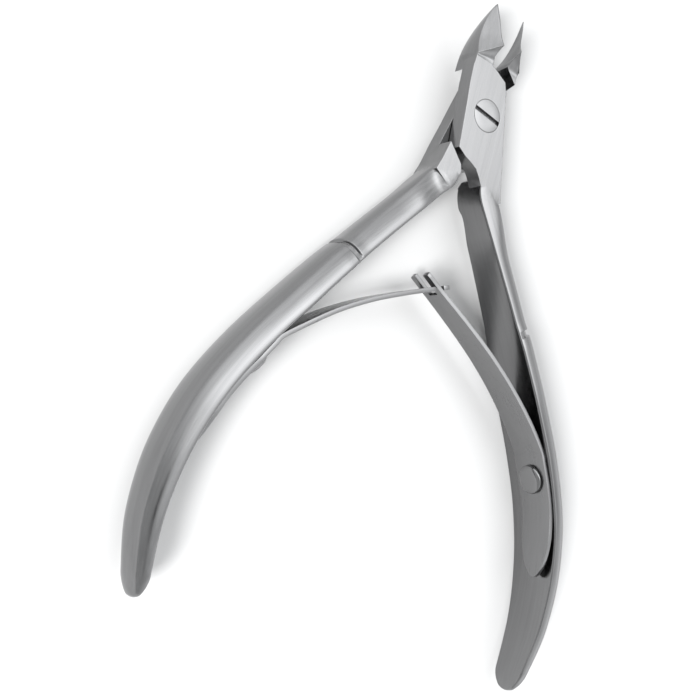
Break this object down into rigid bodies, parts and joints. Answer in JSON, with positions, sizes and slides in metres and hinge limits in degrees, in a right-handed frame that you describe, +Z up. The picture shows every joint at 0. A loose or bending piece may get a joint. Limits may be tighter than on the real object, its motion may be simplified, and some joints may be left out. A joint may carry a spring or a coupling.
{
  "type": "cuticle nipper",
  "caption": "Hand cuticle nipper with a lap joint, bowed D-section handles, short pointed cutting jaws and a forked double leaf spring that holds it open.",
  "frame": {"origin": "middle of the nipper's footprint, on the table it lies on", "axes": "+Y along the nipper towards the jaw tips, +X towards the right handle as seen from above, +Z up along the pivot axis"},
  "size_m": [0.0718, 0.0978, 0.0095],
  "materials": {
    "satin_steel": "satin ground and polished",
    "screw_steel": "turned and polished",
    "spring_steel": "satin rolled strip"
  },
  "bodies": {
    "upper_half": {"upper_half": "satin_steel", "right_spring_screw": "screw_steel"},
    "lower_half": {"lower_half": "satin_steel", "pivot_screw": "screw_steel", "left_spring_screw": "screw_steel"},
    "right_leaf": {"right_spring_leaf": "spring_steel"},
    "left_leaf": {"left_spring_leaf": "spring_steel"}
  },
  "joints": [
    {"name": "pivot", "type": "hinge", "parent": "upper_half", "child": "lower_half", "pos_m": [0, 0.03129, 0.00477], "axis": [0, 0, 1], "range_deg": [0, 17.5], "stiffness_Nm_per_rad": 1, "springref_deg": -2.86},
    {"name": "right_leaf_flex", "type": "hinge", "parent": "upper_half", "child": "right_leaf", "pos_m": [0.02534, -0.01343, 0.00477], "axis": [0, 0, 1], "range_deg": [-10.5, 0], "deforming": ["right_spring_leaf"]},
    {"name": "left_leaf_flex", "type": "hinge", "parent": "lower_half", "child": "left_leaf", "pos_m": [-0.0248, -0.01253, 0.00477], "axis": [0, 0, 1], "range_deg": [0, 10.5], "deforming": ["left_spring_leaf"]}
  ],
  "couplings": [
    {"joint": "right_leaf_flex", "follows": "pivot", "ratio": -0.59},
    {"joint": "left_leaf_flex", "follows": "pivot", "ratio": 0.59}
  ]
}
